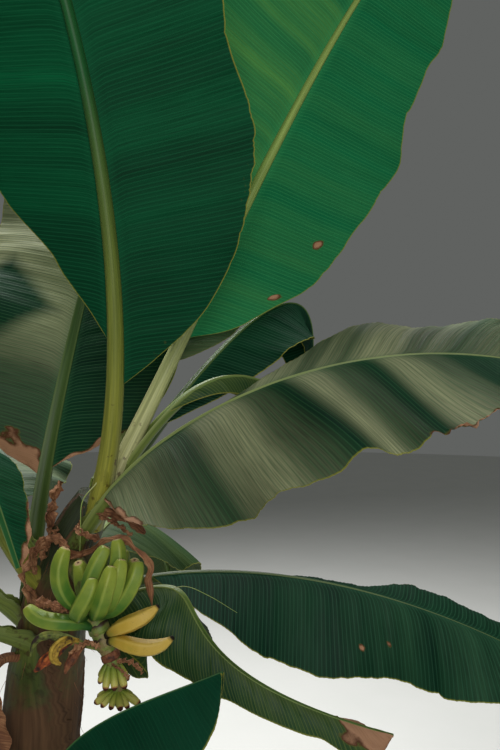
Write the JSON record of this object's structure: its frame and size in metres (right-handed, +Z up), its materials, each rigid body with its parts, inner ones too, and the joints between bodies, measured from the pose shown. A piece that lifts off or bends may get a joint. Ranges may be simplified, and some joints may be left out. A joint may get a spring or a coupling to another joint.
{
  "type": "fruiting banana plant",
  "caption": "Rooted banana plant with a sheathed false stem, broad upright and arching leaves, a hanging fruit bunch, dry leaf remains and a young sucker.",
  "frame": {"origin": "centre of the flat cut under the false stem, at ground level", "axes": "+Z up; the fruit bunch hangs on the -Y side; the long arching leaf reaches towards +X"},
  "size_m": [3.1713, 2.241, 2.8938],
  "materials": {
    "stem": "dull fibrous sheaths",
    "young_stem": "smooth waxy sheaths",
    "leaf": "soft waxy sheen",
    "young_leaf": "smooth and waxy",
    "dry_leaf": "papery and matt",
    "stalk": "satin",
    "green_fruit": "satin skin",
    "ripe_fruit": "satin skin",
    "stunted_fruit": "satin skin"
  },
  "bodies": {
    "root": {"false_stem": "stem", "leaf_front_upright": "leaf", "leaf_right_upright": "leaf", "leaf_back_upright": "leaf", "leaf_right_arching": "leaf", "leaf_right_narrow": "leaf", "leaf_back_right_upright": "leaf", "leaf_right_back": "leaf", "leaf_right_low": "leaf", "leaf_right_drooping": "leaf", "leaf_front_folded": "leaf", "leaf_left_arching": "leaf", "leaf_left_low": "leaf", "leaf_back_left_arching": "leaf", "leaf_back_low": "leaf", "leaf_front_left_low": "leaf", "dead_leaf_front": "dry_leaf", "dead_leaf_back": "dry_leaf", "sucker_stem": "young_stem", "sucker_leaf_front": "young_leaf", "sucker_leaf_left": "young_leaf", "sucker_leaf_right": "young_leaf", "fruit_stalk": "stalk", "fruit_hand_upper": "green_fruit", "fruit_hand_left": "green_fruit", "fruit_hand_yellow": "ripe_fruit", "fruit_withered": "dry_leaf", "fruit_whorl_upper": "stunted_fruit", "fruit_whorl_lower": "stunted_fruit", "dry_strip_over_fruit": "dry_leaf", "dry_sheath_left": "dry_leaf", "dry_sheath_front": "dry_leaf"}
  },
  "joints": []
}
